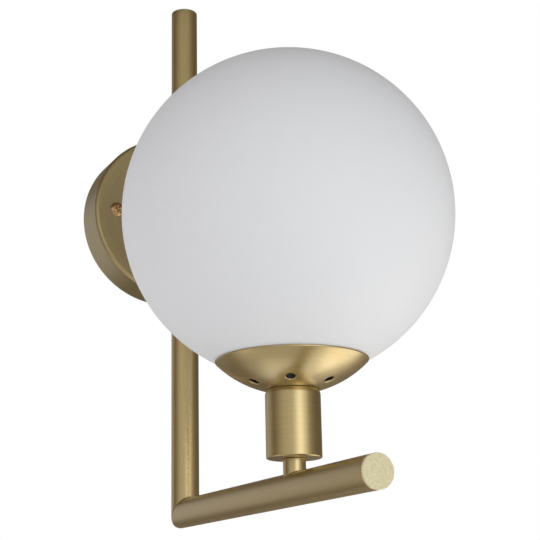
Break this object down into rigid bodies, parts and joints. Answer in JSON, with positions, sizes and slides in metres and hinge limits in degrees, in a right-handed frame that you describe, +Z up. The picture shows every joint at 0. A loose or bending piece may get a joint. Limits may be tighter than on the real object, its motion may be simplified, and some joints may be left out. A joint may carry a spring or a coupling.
{
  "type": "globe wall sconce",
  "caption": "Wall light with a round canopy, a square-cornered tube arm, a socket cup, a vented dish and an opal glass globe standing on it.",
  "frame": {"origin": "centre of the canopy on the wall, at the centre of the bracket's slots", "axes": "+Y into the wall, so the light stands out towards -Y; +Z up along the upright tube"},
  "size_m": [0.2, 0.3086, 0.3821],
  "materials": {
    "satin_brass": "satin brushed",
    "end_brass": "mottled matt",
    "bronze_screw": "polished",
    "plated_steel": "zinc plated",
    "green_screw": "plated green",
    "bare_brass": "machined",
    "porcelain": "glazed white",
    "silicone": "matt translucent",
    "opal_glass": "satin opal",
    "lamp_glass": "frosted",
    "lamp_metal": "bright",
    "lamp_vitrite": "gloss black",
    "block_plastic": "moulded",
    "block_steel": "plated",
    "lead_sheath": "extruded"
  },
  "bodies": {
    "root": {"canopy": "satin_brass", "upright_tube": "satin_brass", "reach_tube": "satin_brass", "top_plug": "satin_brass", "arm_standoff": "satin_brass", "stem": "satin_brass", "socket_cup": "satin_brass", "dish": "satin_brass", "front_plug": "end_brass", "canopy_screws": "bronze_screw", "mounting_bracket": "plated_steel", "arm_nipple": "plated_steel", "stem_nipple": "plated_steel", "nipple_nut": "plated_steel", "nipple_washer": "plated_steel", "stem_nut": "plated_steel", "clamp_ring": "plated_steel", "globe_collar": "plated_steel", "ground_screw": "green_screw", "arm_insert": "bare_brass", "stem_insert": "bare_brass", "screw_shell": "bare_brass", "centre_contact": "bare_brass", "lampholder_body": "porcelain", "globe_gasket": "silicone", "terminal_block": "block_plastic", "terminal_screws": "block_steel", "internal_lead": "lead_sheath"},
    "globe": {"globe": "opal_glass"},
    "lamp": {"lamp_contact": "bare_brass", "lamp_insulator": "lamp_vitrite", "lamp_cap": "lamp_metal", "lamp_envelope": "lamp_glass"}
  },
  "joints": [
    {"name": "globe_lift", "type": "slide", "parent": "root", "child": "globe", "axis": [0, 0, 1], "range_m": [0, 0.08]},
    {"name": "lamp_withdraw", "type": "slide", "parent": "root", "child": "lamp", "axis": [0, 0, 1], "range_m": [0, 0.03]}
  ]
}
